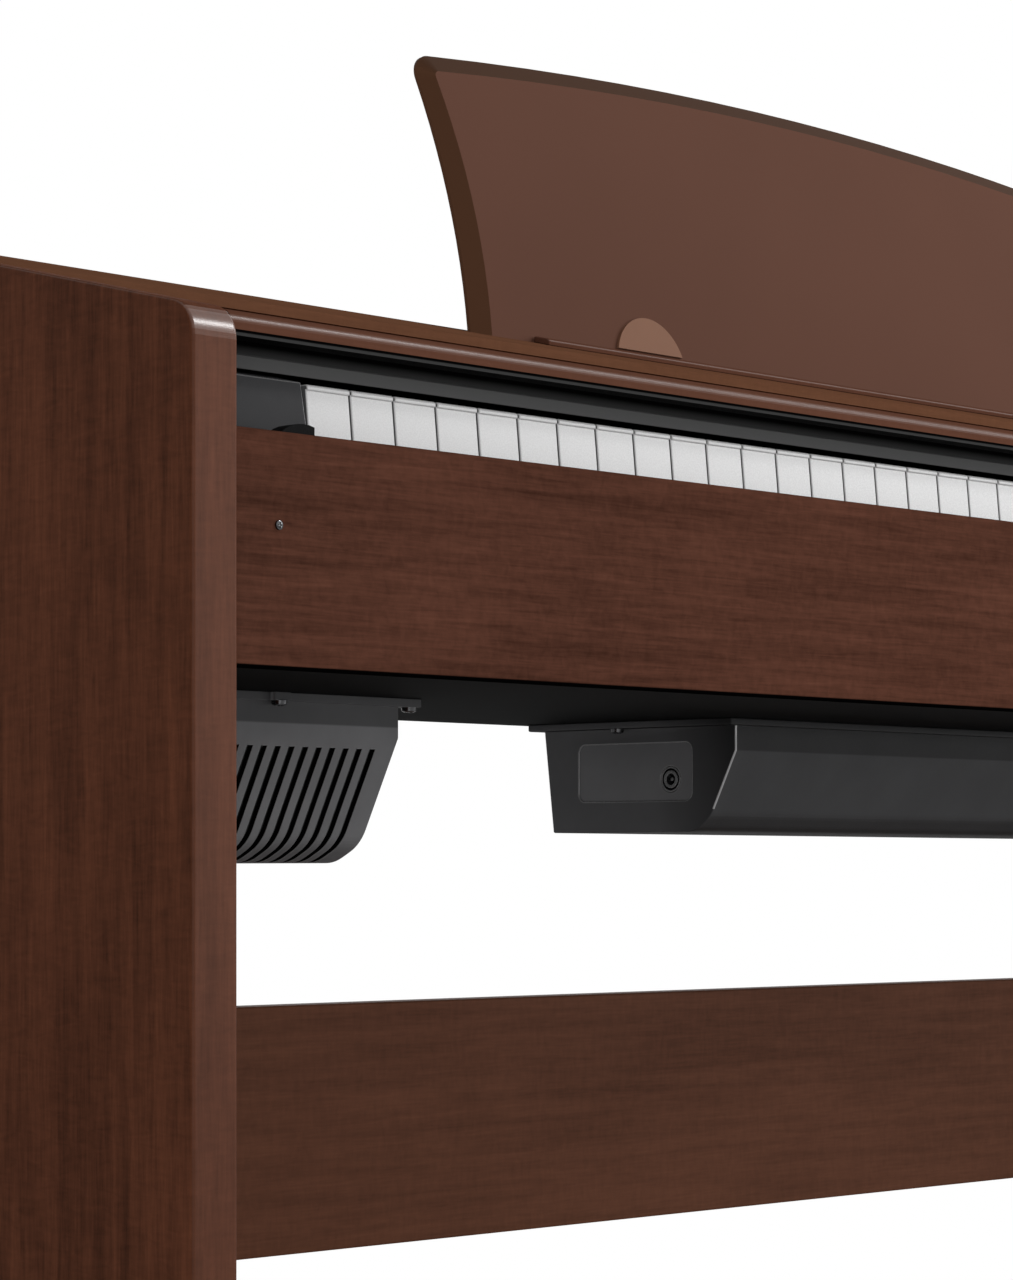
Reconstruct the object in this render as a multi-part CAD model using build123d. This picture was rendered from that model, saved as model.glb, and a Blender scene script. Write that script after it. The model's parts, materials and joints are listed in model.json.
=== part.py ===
from build123d import *
import math
import os

# A slim cabinet digital piano on its stand, in millimetres.
# X runs along the keyboard to the player's right, Y runs to the back, Z is up.
# The origin is on the floor, under the middle of the cabinet.

# Cabinet, without the music rest
DEPTH = 299.0
HEIGHT = 798.0
TOP_RISE = 71.3          # how far the side panels' top edge climbs from front to back
PANEL_T = 22.0
PANEL_NOSE_R = 14.0
PANEL_ARRIS = 1.5
FIT = 0.3                # gap left round pieces that drop in between others

# Feet of the side panels
GLIDE_H = 8.0
GLIDE_R = 9.5
GLIDE_INSET = 35.0

# Key bed, key slip and rear panel
BED_Z = 600.0
BED_T = 15.0
BED_INSET = 11.0         # the bed's rear edge lies this far inside the side panels' rear edge
SLIP_SET_BACK = 5.0
SLIP_T = 15.0
SLIP_H = 85.9
SLIP_ARRIS = 1.2
REAR_T = 5.0

# Sloping top: depths are measured straight down from the side panels' top edge
TOP_SET_DOWN = 0.2
TOP_FRONT = 168.0
TOP_INSET = 2.0
TOP_T = 8.5
TOP_EDGE_T = 4.2         # thickness at the thinned front edge
TOP_EDGE_RUN = 14.0

# Sliding lid in two leaves, drawn closed
LEAF_GAP = 0.4
LEAF_FRONT_T = 2.8
LEAF_REAR_T = 2.5
LEAF_INSET = 13.0        # the open leaves stop this far inside the side panels' rear edge
LID_STOP = 1.0           # room left in front of the top board when the lid is open
NOSE_FRONT = 15.0
NOSE_DEPTH = 10.0
NOSE_WEB = 4.0
NOSE_DROP = 1.25         # depth of the nose's top below the side panels' top edge
NOSE_H = 6.65
NOSE_ROUND = 0.72        # upper edge's radius as a share of the nose's height
NOSE_FOOT_ROUND = 0.06   # lower edge's radius as a share of the nose's height
GRIP_LIP_FRONT = 16.8
GRIP_LIP_H = 2.0
GRIP_FRONT = 40.0
GRIP_STEP = 2.0          # how far the grip's wall lies behind its lower band
GRIP_BACK = 48.0
GRIP_BAND_TOP = 17.8
GRIP_LOW = 23.4
GRIP_ROUND = 0.5
RAIL_W = 10.0
RAIL_FRONT = 21.0
RAIL_WEB = 1.5
RAIL_SKIN = 1.8
DECK_CLEAR = 0.6         # room between the sliding grip and the deck
DECK_T = 5.2
DECK_FRONT = 179.0

# Keyboard
WHITE_COUNT = 52
KEY_PITCH = 23.5
KEY_GAP = 1.0
KEY_FRONT = 30.0
KEY_INSET = 51.0         # the keys' rear ends lie this far inside the side panels' rear edge
KEY_TOP = 709.0
KEY_T = 14.0
KEY_SKIRT_H = 26.0
KEY_SKIRT_T = 6.0
KEY_EDGE_R = 1.2
KEY_LIP_H = 2.3
KEY_LIP_IN = 0.8
KEY_LEAN = 1.5           # how far a key's front comes forward at its foot
BLACK_W = 11.0
BLACK_TOP_W = 9.6
BLACK_FRONT = 80.0
BLACK_NOSE_RUN = 7.0
BLACK_RISE = 12.0
NOTCH_GAP = 1.5
BLACK_SHIFT_PAIR = 3.3   # outward shift of the two-key group
BLACK_SHIFT_TRIO = 4.6   # outward shift of the three-key group
PIVOT_INSET = 8.0        # distance of the pivot rod from the keys' rear ends
PIVOT_R = 2.5
PIVOT_CLEAR = 0.05

# Key frame, its felt, contact strip and boards
FRAME_T = 3.0
FRAME_FRONT = 50.0
FRAME_SHELF = 22.0
FRAME_TABLE_FRONT = 100.0
FRAME_TABLE_INSET = 55.0
FRAME_INSET = 7.0        # the frame reaches this far behind the keys
FRAME_TOP = 681.0
FRAME_END_T = 4.0
FRAME_END_RUN = 24.0
FRAME_END_MARGIN = 10.0
FELT_T = 4.6
BOARD_T = 1.6
SENSOR_FRONT = 120.0
SENSOR_DEPTH = 60.0
STRIP_W = 12.0
STRIP_H = 7.2
MAIN_BOARD_W = 300.0
MAIN_BOARD_H = 84.0
MAIN_BOARD_Z = 640.0
STANDOFF_R = 3.5
STANDOFF_H = 6.0
STANDOFF_INSET = 10.0

# Cheek blocks and what is on them
CHEEK_W = 62.5
CHEEK_DROP = 24.6
CHEEK_LEAN = 2.8
CHEEK_PROUD = 2.2        # how far the cheek stands in front of the keys
CHEEK_WALL = 2.5
CHEEK_DRAFT = 2.1        # how far the top of the cheek's inner side lies back from the keys
CHEEK_FOOT_DRAFT = 0.4   # the same at the key slip's top edge
LUG_INSET = 40.6
LUG_W = 18.2
LUG_DEPTH = 7.7
LUG_H = 4.5
LUG_SHOULDER = 4.0
CONTROL_INSET = 30.5
BUTTON_R = 5.5
BUTTON_UP = 0.8
BUTTON_ROUND = 0.4       # edge radius as a share of how far a button stands up
BUTTON_TRAVEL = 0.8
BUTTON_CLEAR = 0.3
BUTTON_RIM = 1.2
BUTTON_RIM_T = 1.2
POWER_AT = 62.0
TONE_AT = 84.0
RHYTHM_AT = 102.0
KNOB_AT = 134.0
KNOB_R = 9.5
KNOB_H = 7.0
KNOB_UP = 0.8            # how far the knob stands out of the cheek
KNOB_SHAFT_R = 3.0
KNOB_GRIPS = 18
KNOB_GRIP_R = 0.7
CONTROL_DEPTH = 12.0     # how far the control board lies below the cheek's top
CONTROL_BOARD_W = 40.0

# Music rest, its ledge and its page pad
REST_INSET = 41.0
REST_LEAN = 11.0
REST_T = 9.5
REST_HALF_BASE = 275.4
REST_HALF_WAIST = 272.3
REST_HALF_TOP = 289.0
REST_SIDE_H = 143.5
REST_WAIST_AT = 0.25     # height of the narrowest place as a share of the sides' height
REST_ARCH = 14.4
REST_CORNER_R = 10.0
REST_RIM_SIDE = 7.3      # width of the bevelled border at the sides
REST_RIM_TOP = 10.0
REST_RIM_DEEP = 7.5
TONGUE_W = 40.0
TONGUE_T = 4.0
TONGUE_L = 6.0
TONGUE_X = 180.0
LEDGE_HALF = 237.0
LEDGE_DEPTH = 10.0
LEDGE_H = 3.2
LEDGE_ROUND = 0.5        # edge radius as a share of the ledge's height
PAD_X = -149.0
PAD_R = 26.2
PAD_SINK = 7.8           # how far the pad's centre lies below its straight edge
PAD_T = 1.6

# Speaker boxes under the bed
BOX_WALL = 3.0
BOX_CORNER_R = 22.0
FLANGE_T = 3.5
FLANGE_W = 8.0
SPEAKER_INSET = 17.5
SPEAKER_W = 205.0
SPEAKER_FRONT = 140.0
SPEAKER_LIP_Z = 583.0
SPEAKER_SLANT_BACK = 163.0
SPEAKER_SLANT_Z = 537.5
SPEAKER_BOTTOM_FRONT = 179.0
SPEAKER_BOTTOM_Z = 529.5
BOX_INSET = 19.0         # the boxes' rear edge lies this far inside the side panels' rear edge
BOX_DRAFT = 6.5
SLOT_PITCH = 7.9
SLOT_W = 3.3
SLOT_MARGIN = 13.0
SLOT_TOP_Z = 578.0
SLOT_BACK = 196.0
EAR_W = 10.6
EAR_DEPTH = 8.0
TAB_AT = 131.0           # distance of the front screw tab from the box's outer end
TAB_W = 9.0
TAB_DEPTH = 3.0
DRIVER_R = 42.0
DRIVER_H = 46.0
DRIVER_RIM_T = 4.0
MAGNET_R = 26.0
MAGNET_H = 16.0
BASKET_MOUTH = 0.92      # shares of the driver's and the magnet's radius
BASKET_NECK = 0.8
CONE_MOUTH = 0.84
CONE_NECK = 0.5
CONE_DEPTH = 0.7         # share of the height below the magnet

# Socket box in the middle
SOCKET_HALF = 205.5
SOCKET_FRONT = 154.5
SOCKET_LIP_Z = 584.5
SOCKET_SLANT_BACK = 170.0
SOCKET_SLANT_Z = 553.5
SOCKET_BOTTOM_FRONT = 180.0
SOCKET_BOTTOM_Z = 545.5
SOCKET_CORNER_R = 14.0
RECESS_FRONT = 182.5
RECESS_MARGIN = 24.0
RECESS_Z0 = 561.0
RECESS_Z1 = 589.0
RECESS_DEPTH = 0.7
RECESS_R = 4.0
DC_AT = 196.5
DC_Z = 571.3
DC_HOLE_R = 6.3
DC_RING_R = 4.4
DC_GROOVE_R = 5.4
DC_BORE_R = 2.8
DC_PIN_R = 0.9
DC_L = 14.0
DC_SET_IN = 1.0
PHONES_R = 6.0
PHONES_BORE_R = 3.2
PHONES_L = 24.0
PHONES_SPREAD = 30.0

# Screws that show
SCREW_R = 3.4
SCREW_DOME = 2.4
SPEAKER_SCREW_AT = 215.0
SOCKET_SCREW_AT = 227.0
SLIP_PIN_INSET = 24.5
SLIP_PIN_Z = 651.5
SLIP_PIN_R = 1.8
SLIP_PIN_DOME = 1.0

# Stand: rear board and pedal unit
BOARD_INSET = 22.0
BACK_BOARD_T = 15.0
BACK_BOARD_Z0 = 348.5
BACK_BOARD_H = 115.5
PEDAL_HALF = 150.0
PEDAL_BOX_FRONT = 158.0
PEDAL_BOX_INSET = 22.0
PEDAL_BOX_Z0 = 26.0
PEDAL_BOX_H = 84.0
PEDAL_WALL = 4.0
PEDAL_BOX_R = 14.0
PEDAL_RAIL_T = 15.0
PEDAL_RAIL_H = 70.0
PEDAL_PITCH = 72.0
PEDAL_W = 24.0
PEDAL_T = 9.0
PEDAL_TIP = 52.0
TOE_L = 58.0
TOE_ROUND = 0.48         # corner radius as a share of the toe's width
PEDAL_NECK_W = 17.0
PEDAL_ROUND = 0.3        # edge radius as a share of the pedal's thickness
PEDAL_Z = 70.0
PEDAL_AXLE_INSET = 27.0
PEDAL_AXLE_R = 4.0
PEDAL_TRAVEL = 16.0
PEDAL_SIDE_GAP = 4.0
ADJUSTER_R = 15.0
ADJUSTER_H = 10.0
ADJUSTER_ROUND = 0.2     # edge radius as a share of the foot's height
ADJUSTER_STEM_R = 5.0

FRONT = -DEPTH / 2
KEYS_HALF = WHITE_COUNT * KEY_PITCH / 2
INNER = KEYS_HALF + CHEEK_W
WIDTH = 2 * (INNER + PANEL_T)
SLOPE = TOP_RISE / DEPTH
BED_TOP = BED_Z + BED_T
SLIP_TOP = BED_Z + SLIP_H
PIVOT_Z = KEY_TOP - KEY_T / 2
LEAF_FRONT_D = TOP_SET_DOWN + TOP_T + LEAF_GAP
LEAF_REAR_D = LEAF_FRONT_D + LEAF_FRONT_T + LEAF_GAP
LEAF_END_D = LEAF_REAR_D + LEAF_REAR_T
DECK_D = GRIP_LOW + DECK_CLEAR
LEAF_HALF = INNER - RAIL_WEB - LEAF_GAP
NOSE_HALF = INNER - RAIL_W - FIT
NOSE_BACK = NOSE_FRONT + NOSE_DEPTH
LID_RUN = TOP_FRONT - NOSE_BACK - LID_STOP
LEAF_BACK = DEPTH - LEAF_INSET
BED_BACK = DEPTH - BED_INSET
TOP_BACK = DEPTH - TOP_INSET
KEY_BACK = DEPTH - KEY_INSET
PIVOT_BACK = KEY_BACK - PIVOT_INSET
FRAME_BACK = KEY_BACK + FRAME_INSET
FRAME_TABLE_BACK = FRAME_BACK - FRAME_TABLE_INSET
REST_AT = DEPTH - REST_INSET
LUG_X = INNER - LUG_INSET
CONTROL_X = CONTROL_INSET - INNER
SLIP_PIN_X = INNER - SLIP_PIN_INSET
SPEAKER_OUT = INNER - SPEAKER_INSET
SPEAKER_IN = SPEAKER_OUT - SPEAKER_W
SPEAKER_BACK = DEPTH - BOX_INSET
SOCKET_BACK = DEPTH - BOX_INSET
RECESS_BACK = SOCKET_BACK - RECESS_MARGIN
BOARD_FRONT = DEPTH - BOARD_INSET - BACK_BOARD_T
PEDAL_BOX_BACK = DEPTH - PEDAL_BOX_INSET
PEDAL_AXLE_AT = PEDAL_BOX_BACK - PEDAL_AXLE_INSET


def top_z(offset):
    """Height of the side panels' top edge at a distance behind their front edge."""
    return HEIGHT - SLOPE * (DEPTH - offset)


def block(x0, x1, o0, o1, z0, z1):
    """Square block between two X values, two distances behind the front and two heights."""
    centre = Pos((x0 + x1) / 2, FRONT + (o0 + o1) / 2, (z0 + z1) / 2)
    return centre * Box(x1 - x0, o1 - o0, z1 - z0)


def outline(points):
    """Face in the YZ plane from points given as distance behind the front and height."""
    return make_face(Polyline(*[(FRONT + o, z) for o, z in points], close=True))


def along_x(face, x0, x1):
    """Runs a YZ face from x0 to x1."""
    return Pos(x0, 0, 0) * extrude(Plane.YZ * face, x1 - x0)


def sloped(x0, x1, o0, o1, d0, d1):
    """Plate parallel to the sloping top, from depth d0 to depth d1 below it."""
    points = [(o0, top_z(o0) - d0), (o1, top_z(o1) - d0), (o1, top_z(o1) - d1), (o0, top_z(o0) - d1)]
    return along_x(outline(points), x0, x1)


def both_sides(solid):
    """The solid and its mirror image across the middle of the piano."""
    return [solid, mirror(solid, Plane.YZ)]


def corner_at(face, offset, z):
    """The corner of a YZ face nearest to a distance behind the front and a height."""
    return face.vertices().sort_by_distance(Vector(FRONT + offset, z, 0))[0]


def side_panel():
    """Left side panel with a rounded front top corner and eased outer edges."""
    face = outline([(0, GLIDE_H), (DEPTH, GLIDE_H), (DEPTH, HEIGHT), (0, top_z(0))])
    face = fillet(corner_at(face, 0, top_z(0)), PANEL_NOSE_R)
    panel = along_x(face, -WIDTH / 2, -INNER)
    ends = panel.faces().sort_by(Axis.X)
    return fillet(ends[0].edges() + ends[-1].edges(), PANEL_ARRIS)


def glides():
    """Round glides under the side panels' corners."""
    x = WIDTH / 2 - PANEL_T / 2
    spots = [(sx * x, FRONT + o) for sx in (-1, 1) for o in (GLIDE_INSET, DEPTH - GLIDE_INSET)]
    glide = Cylinder(GLIDE_R, GLIDE_H, align=(Align.CENTER, Align.CENTER, Align.MIN))
    return [Pos(px, py, 0) * glide for px, py in spots]


def key_slip():
    """Wood rail in front of the keys."""
    half = INNER - FIT
    rail = block(-half, half, SLIP_SET_BACK, SLIP_SET_BACK + SLIP_T, BED_Z, SLIP_TOP)
    front = rail.faces().sort_by(Axis.Y)[0]
    return fillet(front.edges().filter_by(Axis.X), SLIP_ARRIS)


def key_bed():
    half = INNER - FIT
    return block(-half, half, SLIP_SET_BACK + SLIP_T, BED_BACK, BED_Z, BED_TOP)


def rear_panel():
    """Thin panel that closes the cabinet's back, up to the top board."""
    half = INNER - FIT
    under = TOP_SET_DOWN + TOP_T
    o1 = BED_BACK + REAR_T
    points = [(BED_BACK, BED_Z), (o1, BED_Z), (o1, top_z(o1) - under), (BED_BACK, top_z(BED_BACK) - under)]
    return along_x(outline(points), -half, half)


def top_board():
    """Fixed sloping top with a thinned front edge and two slots for the music rest."""
    half = INNER - FIT
    d0 = TOP_SET_DOWN
    d1 = d0 + TOP_T
    thick_from = TOP_FRONT + TOP_EDGE_RUN
    points = [
        (TOP_FRONT, top_z(TOP_FRONT) - d0),
        (TOP_BACK, top_z(TOP_BACK) - d0),
        (TOP_BACK, top_z(TOP_BACK) - d1),
        (thick_from, top_z(thick_from) - d1),
        (TOP_FRONT, top_z(TOP_FRONT) - d0 - TOP_EDGE_T),
    ]
    board = along_x(outline(points), -half, half)
    for x in (-TONGUE_X, TONGUE_X):
        board -= rest_plane() * tongue(x, FIT)
    return board


def lid_front_leaf():
    """Front leaf of the closed lid, with the rounded nose along its front."""
    low = LEAF_FRONT_D + LEAF_FRONT_T
    leaf = sloped(-LEAF_HALF, LEAF_HALF, NOSE_BACK, LEAF_BACK - LID_RUN, LEAF_FRONT_D, low)
    leaf += sloped(-NOSE_HALF, NOSE_HALF, NOSE_BACK - NOSE_WEB, NOSE_BACK, NOSE_DROP, low)
    z0 = top_z(NOSE_FRONT) - NOSE_DROP
    z1 = top_z(NOSE_BACK) - NOSE_DROP
    points = [(NOSE_FRONT, z0), (NOSE_BACK, z1), (NOSE_BACK, z1 - NOSE_H), (NOSE_FRONT, z0 - NOSE_H)]
    face = outline(points)
    face = fillet(corner_at(face, *points[3]), NOSE_H * NOSE_FOOT_ROUND)
    face = fillet(corner_at(face, *points[0]), NOSE_H * NOSE_ROUND)
    return leaf + along_x(face, -NOSE_HALF, NOSE_HALF)


def lid_grip():
    """Lip under the nose and finger rail under the front leaf."""
    lip_top = NOSE_DROP + NOSE_H
    web = NOSE_BACK - NOSE_WEB
    under = LEAF_FRONT_D + LEAF_FRONT_T
    lip_low = lip_top + GRIP_LIP_H
    depths = [(GRIP_LIP_FRONT, lip_top), (web, lip_top), (web, under), (GRIP_LIP_FRONT, lip_low)]
    lip = along_x(outline([(o, top_z(o) - d) for o, d in depths]), -NOSE_HALF, NOSE_HALF)
    wall = GRIP_FRONT + GRIP_STEP
    depths = [(wall, under), (GRIP_BACK, under), (GRIP_BACK, GRIP_LOW), (GRIP_FRONT, GRIP_LOW),
              (GRIP_FRONT, GRIP_BAND_TOP), (wall, GRIP_BAND_TOP)]
    corners = [(o, top_z(o) - d) for o, d in depths]
    face = outline(corners)
    face = fillet([corner_at(face, *corners[k]) for k in (3, 4)], GRIP_ROUND)
    return [lip, along_x(face, -NOSE_HALF, NOSE_HALF)]


def lid_rear_leaf():
    """Rear leaf, which follows the front leaf at half its speed."""
    front = GRIP_BACK + LID_RUN / 2 + LID_STOP
    return sloped(-LEAF_HALF, LEAF_HALF, front, LEAF_BACK - LID_RUN / 2, LEAF_REAR_D, LEAF_END_D)


def lid_rail():
    """Left guide rail with a groove for each leaf, fixed to the side panel."""
    x0 = -INNER
    d0 = TOP_SET_DOWN + TOP_T
    rail = sloped(x0, x0 + RAIL_W, RAIL_FRONT, BED_BACK, d0 - RAIL_SKIN, LEAF_END_D + LEAF_GAP + RAIL_SKIN)
    rail -= sloped(x0, x0 + RAIL_W, TOP_FRONT - FIT, BED_BACK, d0 - TOP_T, d0)
    groove = (LEAF_FRONT_D - LEAF_GAP, LEAF_END_D + LEAF_GAP)
    return rail - sloped(x0 + RAIL_WEB, x0 + RAIL_W, RAIL_FRONT, BED_BACK, *groove)


def lid_deck():
    """Plate behind the keys, under the open lid."""
    half = INNER - FIT
    plate = sloped(-half, half, DECK_FRONT, LEAF_BACK, DECK_D, DECK_D + DECK_T)
    front = plate.faces().sort_by(Axis.Y)[0]
    return fillet(front.edges().sort_by(Axis.Z)[-1], KEY_EDGE_R)


OCTAVE = ("c", "c_sharp", "d", "d_sharp", "e", "f", "f_sharp", "g", "g_sharp", "a", "a_sharp", "b")
WHITE_NAMES = ("a", "b", "c", "d", "e", "f", "g")
BLACK_SHIFTS = {"c_sharp": -BLACK_SHIFT_PAIR, "d_sharp": BLACK_SHIFT_PAIR, "f_sharp": -BLACK_SHIFT_TRIO,
                "g_sharp": 0.0, "a_sharp": BLACK_SHIFT_TRIO}


def white_left(index):
    return -KEYS_HALF + index * KEY_PITCH


def black_centres():
    """X centre and name of each black key, from the left; the keyboard runs from A to C."""
    found = []
    for i in range(WHITE_COUNT - 1):
        name = WHITE_NAMES[i % 7] + "_sharp"
        if name in BLACK_SHIFTS:
            found.append((white_left(i + 1) + BLACK_SHIFTS[name], name))
    return found


def pivot_hole(x0, x1):
    hole = Rotation(0, 90, 0) * Cylinder(PIVOT_R + PIVOT_CLEAR, x1 - x0)
    return Pos((x0 + x1) / 2, FRONT + PIVOT_BACK, PIVOT_Z) * hole


def white_profile():
    """White key's side outline: a lip along its top, and a front that leans forward at its foot."""
    z0 = KEY_TOP - KEY_T
    lip = KEY_TOP - KEY_LIP_H
    foot = KEY_TOP - KEY_SKIRT_H
    throat = KEY_FRONT + KEY_SKIRT_T
    face = outline([(KEY_FRONT, KEY_TOP), (KEY_BACK, KEY_TOP), (KEY_BACK, z0), (throat, z0), (throat, foot),
                    (KEY_FRONT - KEY_LEAN, foot), (KEY_FRONT + KEY_LIP_IN, lip), (KEY_FRONT, lip)])
    return fillet(corner_at(face, KEY_FRONT, KEY_TOP), KEY_EDGE_R)


def white_key(index, blacks):
    """White key with notches for the black keys beside it and a hole for the pivot rod."""
    x0 = white_left(index) + KEY_GAP / 2
    x1 = x0 + KEY_PITCH - KEY_GAP
    z0 = KEY_TOP - KEY_T
    key = along_x(white_profile(), x0, x1)
    notch = BLACK_W / 2 + KEY_GAP
    for centre, _ in blacks:
        if x0 - notch < centre < x1 + notch:
            key -= block(centre - notch, centre + notch, BLACK_FRONT - NOTCH_GAP, KEY_BACK + 1,
                         z0 - 1, KEY_TOP + 1)
    return key - pivot_hole(x0 - 1, x1 + 1)


def black_key(centre):
    """Black key: a tapered block on a tail that turns on the pivot rod."""
    half = BLACK_W / 2
    z0 = KEY_TOP - KEY_T
    tail = block(centre - half, centre + half, BLACK_FRONT, KEY_BACK, z0, KEY_TOP)
    foot = Rectangle(BLACK_W, DECK_FRONT - BLACK_FRONT)
    crown = Pos(0, BLACK_NOSE_RUN / 2) * Rectangle(BLACK_TOP_W, DECK_FRONT - BLACK_FRONT - BLACK_NOSE_RUN)
    at = Pos(centre, FRONT + (BLACK_FRONT + DECK_FRONT) / 2, KEY_TOP)
    raised = loft([at * foot, at * Pos(0, 0, BLACK_RISE) * crown])
    return tail + raised - pivot_hole(centre - half - 1, centre + half + 1)


def keys():
    """All keys, gathered by note name."""
    found = {name: [] for name in OCTAVE}
    blacks = black_centres()
    for i in range(WHITE_COUNT):
        found[WHITE_NAMES[i % 7]].append(white_key(i, blacks))
    for centre, name in blacks:
        found[name].append(black_key(centre))
    return found


def key_frame():
    """Bent sheet frame under the keys, with end plates that hold the pivot rod."""
    half = KEYS_HALF
    t = FRAME_T
    top = FRAME_TOP
    base = BED_TOP + t
    frame = block(-half, half, FRAME_FRONT, FRAME_BACK, BED_TOP, base)
    for o0, o1, z0, z1 in (
        (FRAME_FRONT, FRAME_FRONT + t, base, top),
        (FRAME_FRONT, FRAME_FRONT + FRAME_SHELF, top - t, top),
        (FRAME_TABLE_FRONT, FRAME_TABLE_FRONT + t, base, top),
        (FRAME_TABLE_FRONT, FRAME_TABLE_BACK, top - t, top),
        (FRAME_TABLE_BACK - t, FRAME_TABLE_BACK, base, top),
        (FRAME_BACK - t, FRAME_BACK, base, PIVOT_Z),
    ):
        frame += block(-half, half, o0, o1, z0, z1)
    for x0, x1 in ((-half - FRAME_END_T, -half), (half, half + FRAME_END_T)):
        frame += block(x0, x1, FRAME_BACK - FRAME_END_RUN, FRAME_BACK, BED_TOP, PIVOT_Z + FRAME_END_MARGIN)
        hole = Rotation(0, 90, 0) * Cylinder(PIVOT_R, FRAME_END_T)
        frame -= Pos((x0 + x1) / 2, FRONT + PIVOT_BACK, PIVOT_Z) * hole
    return frame


def pivot_rod():
    rod = Rotation(0, 90, 0) * Cylinder(PIVOT_R, 2 * (KEYS_HALF + FRAME_END_T))
    return Pos(0, FRONT + PIVOT_BACK, PIVOT_Z) * rod


def stop_felt():
    """Felt on the frame's front shelf that the pressed keys land on."""
    back = FRAME_FRONT + FRAME_SHELF
    return block(-KEYS_HALF, KEYS_HALF, FRAME_FRONT, back, FRAME_TOP, FRAME_TOP + FELT_T)


def sensor_board():
    o1 = SENSOR_FRONT + SENSOR_DEPTH
    return block(-KEYS_HALF, KEYS_HALF, SENSOR_FRONT, o1, FRAME_TOP, FRAME_TOP + BOARD_T)


def contact_strip():
    """Rubber strip of contact domes on the sensor board."""
    z0 = FRAME_TOP + BOARD_T
    o0 = SENSOR_FRONT + (SENSOR_DEPTH - STRIP_W) / 2
    strip = block(-KEYS_HALF, KEYS_HALF, o0, o0 + STRIP_W, z0, z0 + STRIP_H)
    return chamfer(strip.faces().sort_by(Axis.Z)[-1].edges().filter_by(Axis.X), STRIP_W / 4)


def main_board():
    """Main circuit board on four posts in front of the rear panel."""
    half = MAIN_BOARD_W / 2
    o1 = BED_BACK - STANDOFF_H
    z1 = MAIN_BOARD_Z + MAIN_BOARD_H
    board = block(-half, half, o1 - BOARD_T, o1, MAIN_BOARD_Z, z1)
    post = Rotation(90, 0, 0) * Cylinder(STANDOFF_R, STANDOFF_H)
    for x in (-half + STANDOFF_INSET, half - STANDOFF_INSET):
        for z in (MAIN_BOARD_Z + STANDOFF_INSET, z1 - STANDOFF_INSET):
            board += Pos(x, FRONT + BED_BACK - STANDOFF_H / 2, z) * post
    return board


def cheek_outline(inset):
    """Cheek block's outline, drawn in by a wall at the front, back and top."""
    z_low = SLIP_TOP
    front = KEY_FRONT - CHEEK_PROUD + inset
    back = DECK_FRONT - FIT - inset
    drop = CHEEK_DROP + inset
    lean = front + CHEEK_LEAN
    return outline([(front, BED_TOP), (front, z_low), (lean, top_z(lean) - drop),
                    (back, top_z(back) - drop), (back, BED_TOP)])


def cheek_wedge(x1):
    """Wedge off the cheek's inner side, so that it leans away from the keys towards its top."""
    tall = top_z(KEY_FRONT) - CHEEK_DROP - SLIP_TOP
    room = CHEEK_WALL
    points = [(-CHEEK_FOOT_DRAFT, -tall), (room, -tall), (room, room), (-CHEEK_DRAFT, room), (-CHEEK_DRAFT, 0)]
    along = Vector(0, math.cos(math.atan(SLOPE)), math.sin(math.atan(SLOPE)))
    spot = Vector(x1, FRONT + KEY_FRONT, top_z(KEY_FRONT) - CHEEK_DROP)
    plane = Plane(origin=spot, x_dir=(1, 0, 0), z_dir=-along)
    return extrude(plane * make_face(Polyline(*points, close=True)), DECK_FRONT, both=True)


def cheek_left():
    """Hollow end block beside the lowest key, with openings for the controls."""
    x0 = -INNER + FIT
    x1 = -KEYS_HALF - FIT
    cheek = along_x(cheek_outline(0), x0, x1)
    cheek -= along_x(cheek_outline(CHEEK_WALL), x0 + CHEEK_WALL, x1 - CHEEK_WALL - CHEEK_DRAFT)
    return cheek - cheek_wedge(x1)


def cheek_right():
    return mirror(cheek_left(), Plane.YZ)


def control_plane(offset, depth=0.0):
    """Plane on the left cheek's sloping top, facing out of it."""
    normal = Vector(0, -math.sin(math.atan(SLOPE)), math.cos(math.atan(SLOPE)))
    spot = Vector(CONTROL_X, FRONT + offset, top_z(offset) - CHEEK_DROP)
    return Plane(origin=spot - normal * depth, x_dir=(1, 0, 0), z_dir=normal)


def control_openings():
    """Holes in the left cheek's top for the buttons and the knob."""
    up = (Align.CENTER, Align.CENTER, Align.CENTER)
    holes = [control_plane(at) * Cylinder(BUTTON_R + BUTTON_CLEAR, 4 * CHEEK_WALL, align=up)
             for at in (POWER_AT, TONE_AT, RHYTHM_AT)]
    holes.append(control_plane(KNOB_AT) * Cylinder(KNOB_R + BUTTON_CLEAR, 4 * CHEEK_WALL, align=up))
    return holes


def button(offset):
    """Round push button with a rim that keeps it behind the cheek's skin."""
    low = (Align.CENTER, Align.CENTER, Align.MIN)
    reach = CONTROL_DEPTH - BUTTON_TRAVEL - FIT
    cap = control_plane(offset, reach) * Cylinder(BUTTON_R, reach + BUTTON_UP, align=low)
    cap = fillet(cap.faces().sort_by(Axis.Z)[-1].edges(), BUTTON_UP * BUTTON_ROUND)
    rim_depth = CHEEK_WALL + FIT + BUTTON_RIM_T
    return cap + control_plane(offset, rim_depth) * Cylinder(BUTTON_R + BUTTON_RIM, BUTTON_RIM_T, align=low)


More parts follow.
